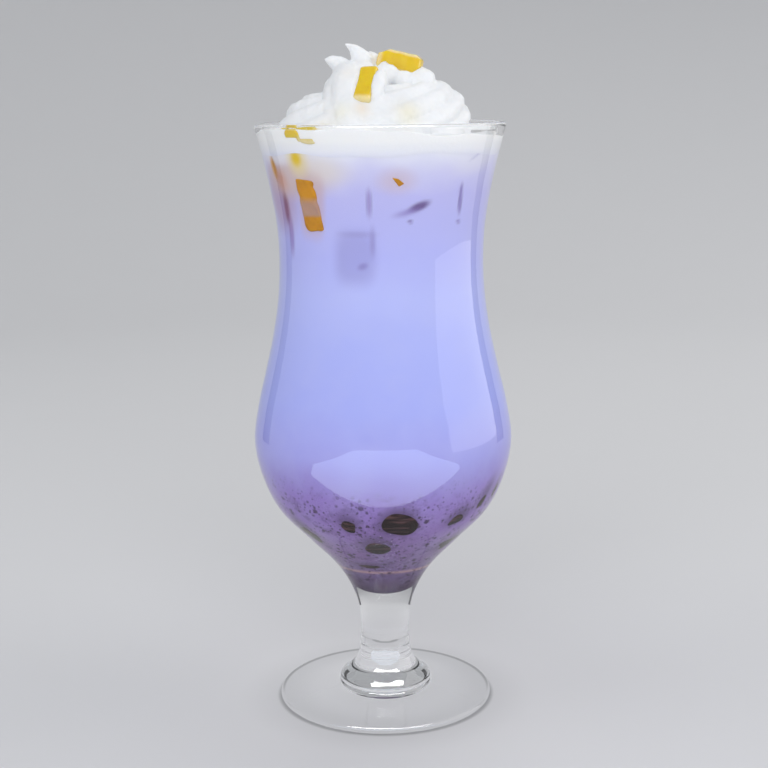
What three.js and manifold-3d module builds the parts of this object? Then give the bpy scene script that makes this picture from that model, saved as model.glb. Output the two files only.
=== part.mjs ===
// Taro bubble tea in a short-stemmed hurricane glass, topped with whipped cream and mango jelly strips.
// Millimetres, +Z up. The origin is the centre of the foot's flat underside, on the glass's axis.
// +X is to the right and -Y is towards the viewer.
import * as THREE from "three";
import { mergeVertices } from "three/addons/utils/BufferGeometryUtils.js";
import Module from "manifold-3d";

const wasm = await Module();
wasm.setup();

// Driving dimensions of the glass: radius against height, from the foot up.
const GLASS_HEIGHT = 192;
const RIM_RADIUS = 40;
const WAIST_RADIUS = 32.9;
const BELLY_RADIUS = 42.3;
const STEM_RADIUS = 8.25;
const FOOT_RADIUS = 35.6;
const FOOT_EDGE = 2.4;
const COLLAR_RADIUS = 15.3;
const WALL = 2.1;
const BOWL_FLOOR = 45;
const RIM_LIP = 1.1;

// What fills it.
const MILK_LEVEL = 185.2;
const CREAM_LEVEL = 189;
const GAP = 0.3;

// Steps around the axis, and along each stretch of an outline.
const AROUND = 40;
const OUTER_STEPS = 30;
const INNER_STEPS = 24;

// Colours of the finished part.
const LOOKS = {
  glass: { color: 0xf2f6f7, roughness: 0.03, metalness: 0, transparent: true, opacity: 0.35 },
  taro_milk: { color: 0xb2b6f2, roughness: 0.35, metalness: 0 },
  whipped_cream: { color: 0xf4f5f8, roughness: 0.5, metalness: 0 },
  jelly: { color: 0xe6bd12, roughness: 0.2, metalness: 0 },
};

// A point of a profile: radius from the axis and height.
const at = (radius, height) => new THREE.Vector2(radius, height);

// A smooth profile through its stations.
function smooth(stations, steps) {
  return new THREE.SplineCurve(stations).getPoints(steps);
}

// A quarter or half round of a profile about a centre, between two angles in degrees.
function arc(radius, height, size, from, to, steps) {
  return Array.from({ length: steps + 1 }, (_, i) => {
    const a = THREE.MathUtils.degToRad(from + ((to - from) * i) / steps);
    return at(radius + size * Math.cos(a), height + size * Math.sin(a));
  });
}

// Turns a profile about Z. The profile runs anticlockwise: up the outside and down to the axis.
function turned(profile, around = AROUND) {
  return new THREE.LatheGeometry(profile, around).rotateX(Math.PI / 2);
}

// A three.js geometry as a solid that can be joined and cut, turned face out if it came inside out.
function solid(geometry) {
  const bare = geometry.index ? geometry.toNonIndexed() : geometry.clone();
  for (const name of Object.keys(bare.attributes)) {
    if (name !== "position") bare.deleteAttribute(name);
  }
  const merged = mergeVertices(bare, 1e-3);
  const triVerts = new Uint32Array(merged.index.array);
  const build = () =>
    new wasm.Manifold(
      new wasm.Mesh({ numProp: 3, vertProperties: merged.attributes.position.array, triVerts }),
    );
  const made = build();
  if (made.volume() > 0) return made;
  for (let i = 0; i < triVerts.length; i += 3) {
    [triVerts[i], triVerts[i + 1]] = [triVerts[i + 1], triVerts[i]];
  }
  return build();
}

// A solid as a three.js geometry again.
function geometryOf(manifold) {
  const mesh = manifold.getMesh();
  const positions = new Float32Array(mesh.numVert * 3);
  for (let i = 0; i < mesh.numVert; i++) {
    positions.set(mesh.vertProperties.subarray(i * mesh.numProp, i * mesh.numProp + 3), i * 3);
  }
  const geometry = new THREE.BufferGeometry();
  geometry.setAttribute("position", new THREE.BufferAttribute(positions, 3));
  geometry.setIndex(new THREE.BufferAttribute(mesh.triVerts, 1));
  geometry.computeVertexNormals();
  return geometry;
}

// The glass outside, from the middle of its underside up to the lip: foot, collar, stem and tulip bowl.
function outerProfile() {
  const footEdge = arc(FOOT_RADIUS - FOOT_EDGE / 2, FOOT_EDGE / 2, FOOT_EDGE / 2, -80, 80, 4);
  const footTop = [at(28, 3), at(20, 4), at(COLLAR_RADIUS + 0.5, 5)];
  const collar = smooth([at(COLLAR_RADIUS, 6.6), at(13.3, 9.2), at(10.6, 11.4), at(9.1, 14)], 5);
  const bowl = smooth(
    [
      at(8.35, 17.5),
      at(STEM_RADIUS, 27),
      at(10.2, 36.5),
      at(15.9, 46.6),
      at(25.6, 57),
      at(34.9, 67),
      at(40.1, 78),
      at(BELLY_RADIUS, 89.5),
      at(40.8, 101),
      at(38.1, 112.5),
      at(35.6, 123.5),
      at(33.7, 135),
      at(WAIST_RADIUS, 147),
      at(33.3, 159),
      at(35.2, 170.5),
      at(37.7, 181),
      at(RIM_RADIUS, GLASS_HEIGHT - RIM_LIP),
    ],
    OUTER_STEPS,
  );
  return [at(0, 0), ...footEdge, ...footTop, ...collar, ...bowl];
}

// The glass inside, from the lip down to the middle of the bowl's floor. The wall thickens low in the bowl.
function innerStations() {
  return [
    at(RIM_RADIUS - 2 * RIM_LIP, GLASS_HEIGHT - RIM_LIP),
    at(37.7 - WALL, 181.5),
    at(35.2 - WALL, 171),
    at(33.3 - WALL, 159),
    at(WAIST_RADIUS - WALL, 147),
    at(33.7 - WALL, 134.6),
    at(35.6 - WALL, 123),
    at(38.1 - WALL, 112),
    at(40.8 - WALL, 100.6),
    at(BELLY_RADIUS - WALL, 89.8),
    at(37.8, 78.6),
    at(32.4, 68),
    at(24.6, 58.6),
    at(14.8, 50.2),
    at(5.4, 45.8),
    at(0, BOWL_FLOOR),
  ];
}

// The space inside the glass, kept a gap away from its wall and cut off at a level.
function insideSpace(gap, top) {
  const wall = smooth(innerStations(), INNER_STEPS + 4);
  const inset = wall.map((p, i) => {
    const along = wall[Math.min(i + 1, wall.length - 1)].clone().sub(wall[Math.max(i - 1, 0)]).normalize();
    return at(Math.max(p.x + gap * along.y, 0), p.y - gap * along.x);
  });
  inset[inset.length - 1].x = 0;
  const below = inset.filter((p) => p.y < top - 2);
  const next = inset.findLast((p) => p.y >= top - 2);
  const edge = next ? below[0].x + ((next.x - below[0].x) * (top - below[0].y)) / (next.y - below[0].y) : 0;
  const mouth = next && top < GLASS_HEIGHT ? [at(edge, top)] : [at(36.5, GLASS_HEIGHT), at(36.5, top)];
  return turned([...below.reverse(), ...mouth, at(0, top)]);
}

function makeGlass() {
  const inner = smooth(innerStations(), INNER_STEPS);
  const lip = arc(RIM_RADIUS - RIM_LIP, GLASS_HEIGHT - RIM_LIP, RIM_LIP, 30, 150, 4);
  return turned([...outerProfile(), ...lip, ...inner]);
}

// A closed body through a run of rings, with its two ends drawn to a point.
// pathOf, sizeOf and lobesOf give the centre, the half width and the relief at each step s from 0 to 1.
function rope(points, sizeOf, { rings = 40, sides = 24, lobes = 0, relief = 0, twist = 0, flatten = 1 }) {
  const path = new THREE.CatmullRomCurve3(points, false, "centripetal");
  const frames = path.computeFrenetFrames(rings, false);
  const positions = [];
  const start = path.getPointAt(0);
  const end = path.getPointAt(1);
  for (let i = 0; i <= rings; i++) {
    const s = i / rings;
    const centre = path.getPointAt(s);
    for (let j = 0; j < sides; j++) {
      const a = (2 * Math.PI * j) / sides;
      const ripple = 1 + relief * Math.abs(Math.cos((lobes / 2) * (a + twist * s))) - relief / 2;
      const size = sizeOf(s) * ripple;
      positions.push(
        centre
          .clone()
          .addScaledVector(frames.normals[i], size * Math.cos(a))
          .addScaledVector(frames.binormals[i], size * flatten * Math.sin(a)),
      );
    }
  }
  const index = [];
  const ring = (i, j) => i * sides + (j % sides);
  for (let i = 0; i < rings; i++) {
    for (let j = 0; j < sides; j++) {
      index.push(ring(i, j), ring(i, j + 1), ring(i + 1, j));
      index.push(ring(i, j + 1), ring(i + 1, j + 1), ring(i + 1, j));
    }
  }
  const first = positions.push(start.addScaledVector(frames.tangents[0], -0.3 * sizeOf(0))) - 1;
  const last = positions.push(end.addScaledVector(frames.tangents[rings], 0.3 * sizeOf(1))) - 1;
  for (let j = 0; j < sides; j++) {
    index.push(first, ring(0, j + 1), ring(0, j));
    index.push(last, ring(rings, j), ring(rings, j + 1));
  }
  const geometry = new THREE.BufferGeometry().setFromPoints(positions);
  return geometry.setIndex(index);
}

const point = (x, y, z) => new THREE.Vector3(x, y, z);

// One strip of mango jelly: a bar with softened edges, laid from one end's middle to the other's.
const STRIP = { width: 5.6, height: 5.2, edge: 0.7 };
function jellyStrip({ from, to }, grow = 0) {
  const along = point(...to).sub(point(...from));
  const length = along.length() + 2 * grow;
  const side = point(0, 0, 1).cross(along).normalize();
  const up = along.normalize().clone().cross(side);
  const w = STRIP.width / 2 + grow - STRIP.edge;
  const h = STRIP.height / 2 + grow - STRIP.edge;
  const outline = new THREE.Shape([at(-w, -h), at(w, -h), at(w, h), at(-w, h)]);
  const bar = new THREE.ExtrudeGeometry(outline, {
    depth: length - 2 * STRIP.edge,
    bevelSize: STRIP.edge,
    bevelThickness: STRIP.edge,
    bevelSegments: 2,
  });
  bar.translate(0, 0, STRIP.edge - length / 2);
  const middle = point(...from).add(point(...to)).divideScalar(2);
  return bar.applyMatrix4(new THREE.Matrix4().makeBasis(side, up, along).setPosition(middle));
}

// Each strip's two ends, and the way its recess in the cream is open.
const STRIPS = {
  jelly_strip_top: { from: [0.4, -4, 212.1], to: [12.9, -4.2, 209], open: [0, 0, 2] },
  jelly_strip_front: { from: [-5.3, -24.5, 197.9], to: [-2.7, -15, 207.4], open: [0.3, -1.4, 1.4] },
  jelly_strip_side: { from: [-26.6, -20.4, 188.2], to: [-16.6, -28.8, 188.2], open: [-1.4, -1.6, 0] },
};

// The piped swirl: one star-nozzle rope, low on the left, round the front, high on the right and over the back.
const SWIRL_PATH = [
  point(4, 11, 185),
  point(-9, 13, 186),
  point(-18.1, 0.5, 186.6),
  point(-12.4, -11.2, 187.4),
  point(0, -15, 189),
  point(11, -10.6, 190.6),
  point(15.7, 0, 191.8),
  point(9.8, 9.6, 193.8),
  point(0, 12.6, 196.2),
  point(-8, 7, 198.6),
];
// Its end, folded forward over the front left.
const TONGUE_PATH = [
  point(-6, 8, 198),
  point(-6.9, 0, 200.4),
  point(-7, -9, 200.6),
  point(-7.1, -15, 196.8),
  point(-7.5, -18, 191),
  point(-8.2, -19, 185),
];
// The torn tips that stand up from the fold, and their half widths at the root.
const TIPS = [
  {
    path: [point(-5, -4, 205), point(-5.6, -4.2, 210.8), point(-7.8, -4.4, 214.2), point(-10.8, -4.6, 216.2)],
    root: 4.2,
    taper: 1.6,
  },
  {
    path: [point(-10.2, -4, 203.6), point(-11.4, -4.6, 208), point(-13.6, -5, 210.2), point(-17, -5.2, 211.6)],
    root: 4.6,
    taper: 1.6,
  },
  { path: [point(-2.4, -2, 205), point(-2.5, -2.2, 210), point(-3, -2.4, 214)], root: 4.2, taper: 3.5 },
];

function makeCream() {
  const below = turned([at(0, 150), at(60, 150), at(60, MILK_LEVEL + GAP), at(0, MILK_LEVEL + GAP)]);
  // the spread bottom of the swirl, a little higher at the front left
  const spread = turned([at(0, -12), at(45, -12), at(45, -0.8), at(30, 0), at(0, 1)]);
  let cream = solid(spread.rotateY(0.03).rotateX(-0.02).translate(0, 0, CREAM_LEVEL));
  const pieces = [
    // the filled middle of the mound
    turned([at(0, 184), at(22, 184), at(18, 194), at(9, 201), at(0, 204)], 20),
    rope(SWIRL_PATH, (s) => 13.9 - 4.2 * s ** 3, { rings: 60, sides: 44, lobes: 11, relief: 0.14, twist: 0.8 }),
    rope(TONGUE_PATH, (s) => 9.8 + 0.8 * s, { rings: 20, sides: 32, lobes: 8, relief: 0.14, twist: 0.3 }),
    ...TIPS.map(({ path, root, taper }) =>
      rope(path, (s) => root * (1 - s ** taper) + 0.35, { rings: 10, sides: 14, flatten: 0.75 }),
    ),
  ];
  for (const piece of pieces) cream = cream.add(solid(piece));
  cream = cream.subtract(solid(below)).intersect(solid(insideSpace(GAP, 240)));
  for (const strip of Object.values(STRIPS)) {
    const recess = jellyStrip(strip, GAP);
    cream = cream.subtract(solid(recess)).subtract(solid(recess.clone().translate(...strip.open)));
  }
  return geometryOf(cream);
}

const object = new THREE.Group();
function add(name, geometry, look) {
  const mesh = new THREE.Mesh(geometry, new THREE.MeshStandardMaterial(LOOKS[look]));
  mesh.name = name;
  object.add(mesh);
}

add("glass", makeGlass(), "glass");
add("taro_milk", insideSpace(GAP, MILK_LEVEL), "taro_milk");
add("whipped_cream", makeCream(), "whipped_cream");
for (const [name, strip] of Object.entries(STRIPS)) {
  add(name, jellyStrip(strip), "jelly");
}

export default object;
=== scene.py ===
"""Taro bubble tea: a stemmed tulip glass of lavender milk tea with pearls, piped cream and mango jelly."""

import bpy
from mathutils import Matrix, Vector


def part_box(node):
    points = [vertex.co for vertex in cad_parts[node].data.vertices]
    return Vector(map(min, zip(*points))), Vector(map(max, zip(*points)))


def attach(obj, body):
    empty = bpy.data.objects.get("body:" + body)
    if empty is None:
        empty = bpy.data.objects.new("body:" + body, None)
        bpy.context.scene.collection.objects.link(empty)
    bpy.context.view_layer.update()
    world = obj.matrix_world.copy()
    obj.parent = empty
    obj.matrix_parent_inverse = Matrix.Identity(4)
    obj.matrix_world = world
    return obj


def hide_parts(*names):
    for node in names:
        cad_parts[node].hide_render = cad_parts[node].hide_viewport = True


bl_info = {
    "name": "Taro Bubble Tea",
    "version": (1, 0, 0),
    "blender": (4, 5, 0),
    "location": "View3D > Sidebar > Bubble Tea",
    "description": "Dresses a taro bubble tea: clear glass, milky drink, pearls, cream and mango jelly",
    "category": "Object",
}

import math

import bpy
import numpy as np
from bpy.props import FloatProperty, FloatVectorProperty, IntProperty, PointerProperty
from mathutils import Matrix

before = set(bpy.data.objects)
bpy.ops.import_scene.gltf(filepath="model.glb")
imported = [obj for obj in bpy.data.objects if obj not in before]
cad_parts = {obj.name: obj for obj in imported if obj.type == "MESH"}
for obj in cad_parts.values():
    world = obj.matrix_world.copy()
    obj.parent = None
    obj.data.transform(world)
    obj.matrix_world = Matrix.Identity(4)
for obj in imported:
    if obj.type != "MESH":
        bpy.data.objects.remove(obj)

MM = 0.001
GLASS_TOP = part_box("glass")[1][2] / MM
MILK_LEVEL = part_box("taro_milk")[1][2] / MM

# Outline of the glass: radius and height in millimetres, outside from the stem up and inside from the
# floor up. The foot's edge is half a round of its thickness, and the lip a round of its radius.
FOOT_RADIUS, FOOT_EDGE, COLLAR_RADIUS, RIM_RADIUS, LIP = 35.6, 2.4, 15.3, 40, 1.1
BOWL_OUTSIDE = [
    (8.35, 17.5), (8.25, 27), (10.2, 36.5), (15.9, 46.6), (25.6, 57), (34.9, 67), (40.1, 78),
    (42.3, 89.5), (40.8, 101), (38.1, 112.5), (35.6, 123.5), (33.7, 135), (32.9, 147), (33.35, 159),
    (35.1, 170.5), (37.45, 181), (RIM_RADIUS, 190.9),
]
BOWL_INSIDE = [
    (0, 38.4), (4.2, 39.2), (8.2, 42.2), (13, 48), (17.6, 52.6), (24.8, 59.2), (32.4, 68), (37.8, 78.6),
    (40.2, 89.8), (38.7, 100.6), (36, 112), (33.5, 123), (31.6, 134.6), (30.8, 147), (31.2, 159),
    (33.1, 171), (35.6, 181.5), (37.8, 190.9),
]
# How far each filling reaches into the wall, so that no air shows between them: the nearer the larger.
MILK_REACH, CREAM_REACH, JELLY_REACH = 0.12, 0.14, 0.45


# Shapes


def curve_through(stations, steps):
    """A smooth curve through the stations: on each stretch, half of 2b + (c - a) t + (2a - 5b + 4c - d)
    t2 + (3b - a - 3c + d) t3, with the end stations used twice."""
    p = np.asarray(stations, float)
    t = np.linspace(0, len(p) - 1, steps + 1)
    i = np.minimum(t.astype(int), len(p) - 2)
    w = (t - i)[:, None]
    a, b, c, d = (p[np.clip(i + k, 0, len(p) - 1)] for k in (-1, 0, 1, 2))
    return 0.5 * (2 * b + (c - a) * w + (2 * a - 5 * b + 4 * c - d) * w**2 + (3 * b - a - 3 * c + d) * w**3)


def evenly(points, count):
    """The same line with its points spread evenly along its length."""
    run = np.concatenate([[0], np.cumsum(np.linalg.norm(np.diff(points, axis=0), axis=1))])
    at = np.linspace(0, run[-1], count)
    return np.stack([np.interp(at, run, column) for column in points.T], axis=-1)


INSIDE = curve_through(BOWL_INSIDE, 600)


def inner_radius(height):
    """The glass's inner radius at a height, read off its outline."""
    return np.interp(height, INSIDE[:, 1], INSIDE[:, 0])


def turned(profile, around):
    """Rings of a profile carried round the axis: x = r cos a, y = r sin a, z = height."""
    a = np.linspace(0, 2 * np.pi, around, endpoint=False)
    r, z = profile[:, :1], profile[:, 1:]
    return np.stack([r * np.cos(a), r * np.sin(a), z + 0 * a], axis=-1)


def between(m, n):
    """Quads between m rings of n points, and the points j of the first ring and their neighbours k."""
    j = np.arange(n)
    k = (j + 1) % n
    row = np.arange(m - 1)[:, None] * n
    return np.stack([row + j, row + k, row + n + k, row + n + j], axis=-1).reshape(-1, 4), j, k


def skin(rings, start=None, end=None):
    """Points and faces of a closed body: quads between the rings, and a fan from each end ring to one
    point."""
    m, n, _ = rings.shape
    start = rings[0].mean(axis=0) if start is None else start
    end = rings[-1].mean(axis=0) if end is None else end
    points = np.concatenate([rings.reshape(-1, 3), [start], [end]])
    quads, j, k = between(m, n)
    first = np.stack([k, j, np.full(n, m * n)], axis=-1)
    last = np.stack([(m - 1) * n + j, (m - 1) * n + k, np.full(n, m * n + 1)], axis=-1)
    return points, quads.tolist() + first.tolist() + last.tolist()


def mesh_of(name, *skins):
    """One mesh of several closed bodies given in millimetres."""
    points, faces, count = [], [], 0
    for body, sides in skins:
        points.append(body)
        faces += [[v + count for v in side] for side in sides] if count else sides
        count += len(body)
    mesh = bpy.data.meshes.new(name)
    mesh.from_pydata((np.concatenate(points) * MM).tolist(), [], faces)
    mesh.polygons.foreach_set("use_smooth", np.ones(len(faces), bool))
    mesh.update()
    return mesh


def places(mesh):
    """The mesh's points in millimetres."""
    flat = np.empty(len(mesh.vertices) * 3)
    mesh.vertices.foreach_get("co", flat)
    return flat.reshape(-1, 3) / MM


def put_tint(mesh, name, colour, cover):
    """Stores a colour and how much it covers, point by point."""
    layer = mesh.color_attributes.new(name, "FLOAT_COLOR", "POINT")
    layer.data.foreach_set("color", np.concatenate([colour, cover[:, None]], axis=1).ravel())


def smooth(low, high, value):
    """0 below low, 1 above high, and a smooth step between."""
    t = np.clip((value - low) / (high - low), 0, 1)
    return t * t * (3 - 2 * t)


def ripples(points, size, seed, waves=14):
    """Smooth uneven relief between about -1 and 1: the sum of sines of the points' dot products with random
    directions, whose wavelengths lie near the given size."""
    rng = np.random.default_rng(seed)
    directions = rng.normal(size=(waves, 3))
    directions /= np.linalg.norm(directions, axis=1)[:, None]
    lengths = size * rng.uniform(0.6, 1.7, waves)
    phase = points @ (directions / lengths[:, None] * 2 * np.pi).T + rng.uniform(0, 6.28, waves)
    return np.sin(phase).sum(axis=-1) / math.sqrt(waves)


def unit(v):
    return v / np.linalg.norm(v, axis=-1, keepdims=True)


def rope(path, size, towards, flutes=0, depth=0.0, twist=0.0, flat=1.0, rings=220, sides=144, wander=0.0):
    """A star-nozzle rope: at share s of its path, the ring is centre + size(s) * (1 + depth * (|cos(k a
    / 2)| - 0.5)) * (cos a * out + flat * sin a * side), where k is the number of flutes and a turns
    with the twist and wanders a little. out is the direction towards, made square to the path."""
    line = evenly(curve_through(path, 500), rings)
    s = np.linspace(0, 1, rings)
    along = unit(np.gradient(line, axis=0))
    ref = towards(line)
    out = unit(ref - (ref * along).sum(axis=1, keepdims=True) * along)
    side = np.cross(along, out)
    a = np.linspace(0, 2 * np.pi, sides, endpoint=False)[None, :]
    turn = a + twist * s[:, None] + wander * np.sin(9 * s[:, None] + 2 * a)
    crest = np.abs(np.cos(flutes / 2 * turn)) ** 0.8 if flutes else 0.5
    radius = size(s)[:, None] * (1 + depth * (crest - 0.5))
    ring = np.cos(a)[..., None] * out[:, None] + flat * np.sin(a)[..., None] * side[:, None]
    rings_of_points = line[:, None] + radius[..., None] * ring
    ends = line[0] - 0.3 * size(s)[0] * along[0], line[-1] + 0.3 * size(s)[-1] * along[-1]
    return skin(rings_of_points, *ends)


def strip_frame(start, end):
    """Middle, length, and the axes along, across and up of a strip."""
    start, end = np.array(start, float), np.array(end, float)
    along = unit(end - start)
    level = unit(np.cross([0.0, 0.0, 1.0], along))
    return (start + end) / 2, np.linalg.norm(end - start), np.stack([along, level, np.cross(along, level)])


def bar(start, end, width, height, edge, rings=60):
    """A bar with rounded edges: a rounded rectangle carried from start to end, drawn in by a quarter
    round at both ends. Its width lies level, square to its length."""
    middle, length, (along, side, up) = strip_frame(start, end)
    a = np.linspace(0, 2 * np.pi, 96, endpoint=False) + 0.01
    square = [np.sign(v) * np.abs(v) ** (2 / 7) for v in (np.cos(a), np.sin(a))]
    t = np.linspace(0, np.pi / 2, 8)
    straight = np.linspace(edge, length - edge, rings)[1:-1]
    run = np.concatenate([edge * (1 - np.cos(t)), straight, length - edge * (1 - np.cos(t[::-1]))])
    inset = np.concatenate([edge * (1 - np.sin(t)), np.zeros(len(straight)), edge * (1 - np.sin(t[::-1]))])
    x = square[0][None] * (width / 2 - inset[:, None])
    y = square[1][None] * (height / 2 - inset[:, None])
    far = (run - length / 2)[:, None, None]
    return skin(middle + far * along + x[..., None] * side + y[..., None] * up)


def blob(centre, axes, sizes, seed, rough=0.12, rings=28, sides=40):
    """An uneven ball: centre + the axes times the sizes times the unit ball, swollen by smooth relief."""
    v = np.linspace(0, np.pi, rings + 2)[1:-1][:, None]
    u = np.linspace(0, 2 * np.pi, sides, endpoint=False)[None]
    ball = np.stack([np.sin(v) * np.cos(u), np.sin(v) * np.sin(u), -np.cos(v) + 0 * u], axis=-1)
    poles = np.array([[0, 0, -1.0], [0, 0, 1.0]])
    swell = lambda p: p * (1 + rough * ripples(p, 1.6, seed)[..., None])
    place = lambda p: centre + (swell(p) * sizes) @ axes
    return skin(place(ball), *place(poles))


def on_wall(angle, height, depth=0.0):
    """A place on the glass's inner wall, a depth inside the drink, and its axes: along the girth, up
    the wall and outwards. The angle is in degrees from the front towards the right."""
    a = math.radians(angle)
    rise = np.array([inner_radius(height + 0.5) - inner_radius(height - 0.5), 1.0])
    rise /= np.linalg.norm(rise)
    radial = np.array([math.sin(a), -math.cos(a), 0.0])
    girth = np.array([math.cos(a), math.sin(a), 0.0])
    up = radial * rise[0] + np.array([0, 0, rise[1]])
    out = np.cross(girth, up)
    place = radial * inner_radius(height) + np.array([0, 0, float(height)]) - out * depth
    return place, np.stack([girth, up, out])


# Materials


class Value:
    """One shader output. Arithmetic on it, with a number or another output, adds Math nodes."""

    def __init__(self, paint, socket):
        self.paint, self.socket = paint, socket

    def math(self, operation, a, b):
        return self.paint.node("ShaderNodeMath", {"operation": operation}, {0: a, 1: b})

    def __add__(self, other):
        return self.math("ADD", self, other)

    def __sub__(self, other):
        return self.math("SUBTRACT", self, other)

    def __rsub__(self, other):
        return self.math("SUBTRACT", other, self)

    def __mul__(self, other):
        return self.math("MULTIPLY", self, other)

    def __truediv__(self, other):
        return self.math("DIVIDE", self, other)

    __radd__, __rmul__ = __add__, __mul__

    def above(self, low, high):
        """0 below low, 1 above high, and a smooth step between. low may be larger than high."""
        given = {0: self, 1: low, 2: high, 3: 0.0, 4: 1.0}
        return self.paint.node("ShaderNodeMapRange", {"interpolation_type": "SMOOTHSTEP"}, given)


class Paint:
    """A material being made. Numbers that are the same all over go straight on the shader's sockets."""

    def __init__(self, name, constants):
        self.material = bpy.data.materials.new(name)
        self.material.use_nodes = True
        self.tree = self.material.node_tree
        self.shader = self.tree.nodes["Principled BSDF"]
        for socket, number in constants.items():
            self.shader.inputs[socket].default_value = number

    def node(self, kind, settings=None, inputs=None, out=0):
        """Adds a node: its settings first, a ramp's stops among them, then the values or links of its
        sockets."""
        made = self.tree.nodes.new(kind)
        for key, setting in (settings or {}).items():
            if key == "stops":
                ramp = made.color_ramp
                while len(ramp.elements) < len(setting):
                    ramp.elements.new(0.5)
                for element, (place, colour) in zip(ramp.elements, setting):
                    element.position, element.color = place, (*colour, 1)
            else:
                setattr(made, key, setting)
        for key, given in (inputs or {}).items():
            if isinstance(given, Value):
                self.tree.links.new(given.socket, made.inputs[key])
            else:
                made.inputs[key].default_value = given
        return Value(self, made.outputs[out])

    def mix(self, share, a, b):
        """Colour a, turning to colour b by a share from 0 to 1."""
        a, b = (c if isinstance(c, Value) else (*c, 1) for c in (a, b))
        given = {0: share, 6: a, 7: b}
        return self.node("ShaderNodeMix", {"data_type": "RGBA"}, given, out=2)

    def place(self):
        return self.node("ShaderNodeTexCoord", out=3)

    def height(self):
        """Height above the table in millimetres."""
        return self.node("ShaderNodeSeparateXYZ", inputs={0: self.place()}, out=2) / MM

    def noise(self, size, detail=3.0, roughness=0.55, stretch=None):
        """Smooth noise from 0 to 1 with features about a size in millimetres."""
        where = self.place()
        if stretch:
            where = self.node("ShaderNodeVectorMath", {"operation": "MULTIPLY"}, {0: where, 1: stretch})
        given = {"Vector": where, "Scale": 1 / (size * MM), "Detail": detail, "Roughness": roughness}
        return self.node("ShaderNodeTexNoise", inputs=given)

    def tint(self, name):
        """A stored colour and its cover."""
        layer = self.node("ShaderNodeAttribute", {"attribute_name": name})
        return layer, Value(self, layer.socket.node.outputs["Alpha"])

    def feed(self, socket, value):
        self.tree.links.new(value.socket, self.shader.inputs[socket])

    def bump(self, height, distance, strength=1.0):
        """Relief from a height of 0 to 1, a distance in millimetres deep."""
        given = {"Height": height, "Distance": distance * MM, "Strength": strength}
        self.feed("Normal", self.node("ShaderNodeBump", inputs=given))


def clear_glass():
    """Clear polished glass. Light on its way to lamps, and light scattered by what it holds, passes
    straight through it, so what it holds is lit."""
    paint = Paint("clear_glass", {
        "Base Color": (1, 1, 1, 1), "Roughness": 0.0, "IOR": 1.5, "Transmission Weight": 1.0,
    })
    tree = paint.tree
    surface = paint.shader.outputs[0]
    path = paint.node("ShaderNodeLightPath").socket.node
    through = paint.node("ShaderNodeBsdfTransparent", inputs={0: (0.98, 0.985, 0.985, 1)})
    for ray in ("Is Diffuse Ray", "Is Shadow Ray"):
        mixed = paint.node("ShaderNodeMixShader", inputs={0: Value(paint, path.outputs[ray]), 2: through})
        tree.links.new(surface, mixed.socket.node.inputs[1])
        surface = mixed.socket
    tree.links.new(surface, tree.nodes["Material Output"].inputs["Surface"])
    return paint.material


def taro_milk_tea(look):
    """Milky lavender that whitens towards the cream and turns mauve in the bowl's point, where dark
    specks settle; a painted caustic draws a thin copper line of light near its bottom."""
    paint = Paint("taro_milk_tea", {"Roughness": 0.6, "Specular IOR Level": 0.1})
    high = paint.height()
    uneven = (paint.noise(26, 2) - 0.5) * 9 + (paint.noise(7, 3) - 0.5) * 2.5
    height = high + uneven * high.above(50, 62)
    floor, level = BOWL_INSIDE[0][1], MILK_LEVEL
    stops = [((h - floor) / (level - floor), colour) for h, colour in DRINK_TONES]
    body = paint.node("ShaderNodeValToRGB", {"stops": stops}, {0: (height - floor) / (level - floor)})
    cloud = paint.noise(12, 4, 0.6).above(0.35, 0.75)
    body = paint.mix(cloud * look.cloud, body, look.pale)
    deep = paint.height().above(86, 70)
    crowd = paint.noise(8, 2).above(0.32, 0.54)
    haze = paint.noise(3.5, 4, 0.7).above(0.46, 0.68) * deep * crowd
    body = paint.mix(haze * 0.42, body, look.speck)
    for size, share in ((1.3, 0.4), (2.3, 0.52), (3.4, 0.66)):
        given = {"Vector": paint.place(), "Scale": 1 / (size * MM), "Randomness": 1.0}
        far = paint.node("ShaderNodeTexVoronoi", inputs=given)
        lot = Value(paint, far.socket.node.outputs["Color"])
        lucky = paint.node("ShaderNodeSeparateColor", inputs={0: lot}).above(share, share + 0.05)
        ragged = far + (paint.noise(0.7, 2) - 0.5) * 0.3
        body = paint.mix(ragged.above(0.34, 0.18) * lucky * deep * crowd * 0.9, body, look.speck)
    # What shows dimly through the milk, and the painted shade round the pearls.
    tint, cover = paint.tint("sunk_tint")
    paint.feed("Base Color", paint.mix(cover, body, tint))
    return paint.material


def cream_finish(look):
    """Whipped cream: soft satin white that light sinks into, with fine air bubbles."""
    paint = Paint("cream_finish", {
        "Roughness": 0.5, "Specular IOR Level": 0.2, "Subsurface Weight": 0.35, "Subsurface Scale": 0.0014,
        "Subsurface Radius": (1.0, 0.9, 0.8),
    })
    # The stains, painted shade and painted light stored on the cream.
    tint, cover = paint.tint("cream_tint")
    soft = paint.mix(paint.noise(9, 2) * 0.3, look.white, look.shade)
    paint.feed("Base Color", paint.mix(cover, soft, tint))
    paint.feed("Roughness", 0.42 + paint.noise(3, 3) * 0.2)
    paint.bump(paint.noise(1.1, 3, 0.6) * 0.6 + paint.noise(4, 2) * 0.4, 0.22, 0.6)
    return paint.material


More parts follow.
